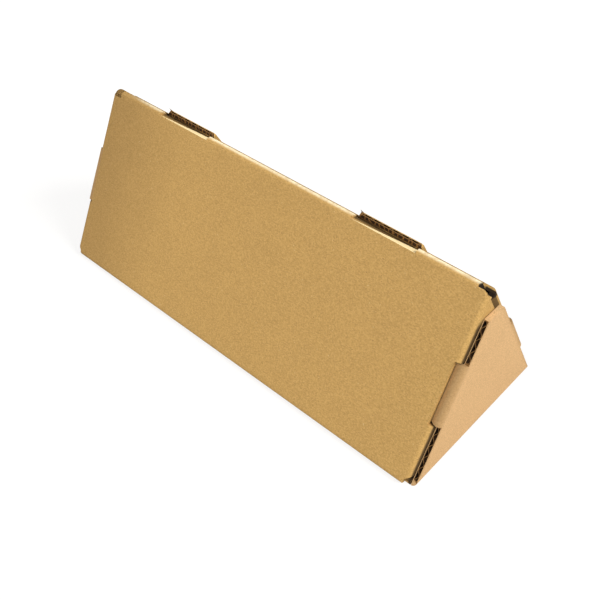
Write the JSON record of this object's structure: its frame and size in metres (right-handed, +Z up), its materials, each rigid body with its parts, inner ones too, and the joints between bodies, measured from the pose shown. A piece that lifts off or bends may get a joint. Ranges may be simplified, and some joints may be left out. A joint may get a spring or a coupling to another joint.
{
  "type": "triangular mailing tube",
  "caption": "Long triangular mailing carton folded from corrugated board, with tabs locked through the ridge and hinged end flaps that tuck in at both ends.",
  "frame": {"origin": "on the resting plane under the middle of the tube, at the centre of the base panel", "axes": "+X along the tube, +Z up through the ridge, -Y towards the front panel"},
  "size_m": [0.2996, 0.1208, 0.1066],
  "materials": {
    "wrap_board": "mottled kraft corrugated board, matt",
    "flap_board": "kraft corrugated board, matt"
  },
  "bodies": {
    "wrap": {"tube_wrap": "wrap_board"},
    "right_flap": {"right_end_flap": "flap_board"},
    "left_flap": {"left_end_flap": "flap_board"}
  },
  "joints": [
    {"name": "right_flap_fold", "type": "hinge", "parent": "wrap", "child": "right_flap", "pos_m": [0.1498, 0, 0], "axis": [0, 1, 0], "range_deg": [0, 90]},
    {"name": "left_flap_fold", "type": "hinge", "parent": "wrap", "child": "left_flap", "pos_m": [-0.1498, 0, 0], "axis": [0, -1, 0], "range_deg": [0, 90]}
  ]
}
